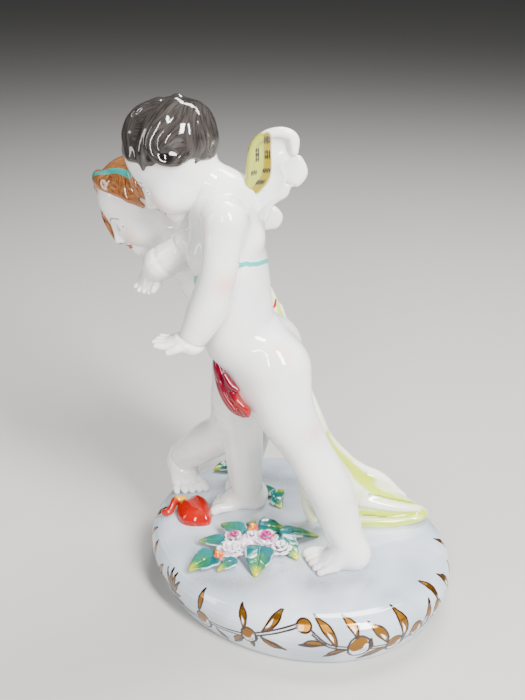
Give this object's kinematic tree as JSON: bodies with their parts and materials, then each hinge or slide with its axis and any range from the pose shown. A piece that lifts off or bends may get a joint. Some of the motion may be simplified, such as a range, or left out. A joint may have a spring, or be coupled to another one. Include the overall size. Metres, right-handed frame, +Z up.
{
  "type": "porcelain figure group",
  "caption": "Glazed and painted porcelain group: a pair of winged cupids lean over a flaming heart beside a spray of flowers on an oval plinth with a gilt garland.",
  "frame": {"origin": "centre of the plinth's flat underside", "axes": "+Z up through the group, its height and longest extent; the cupids lean and look towards -X, and the far cupid stands on the +Y side of the near one"},
  "size_m": [0.1452, 0.1277, 0.2085],
  "materials": {
    "porcelain": "clear glossy glaze over white hard-paste porcelain",
    "brown_hair": "grey-brown brushed enamel under gloss",
    "red_hair": "orange-brown brushed enamel under gloss",
    "wing": "white glaze with a yellow-green band and short dark strokes",
    "drapery": "white glaze washed with yellow-green enamel",
    "red_enamel": "glossy orange-red and crimson enamel",
    "leaf_enamel": "glossy teal-green enamel with yellow tips",
    "flower_enamel": "glossy white, pink and orange enamel",
    "gilt_plinth": "glossy white glaze with a burnished gilt garland"
  },
  "bodies": {
    "root": {"cupid_group": "porcelain"}
  },
  "joints": []
}
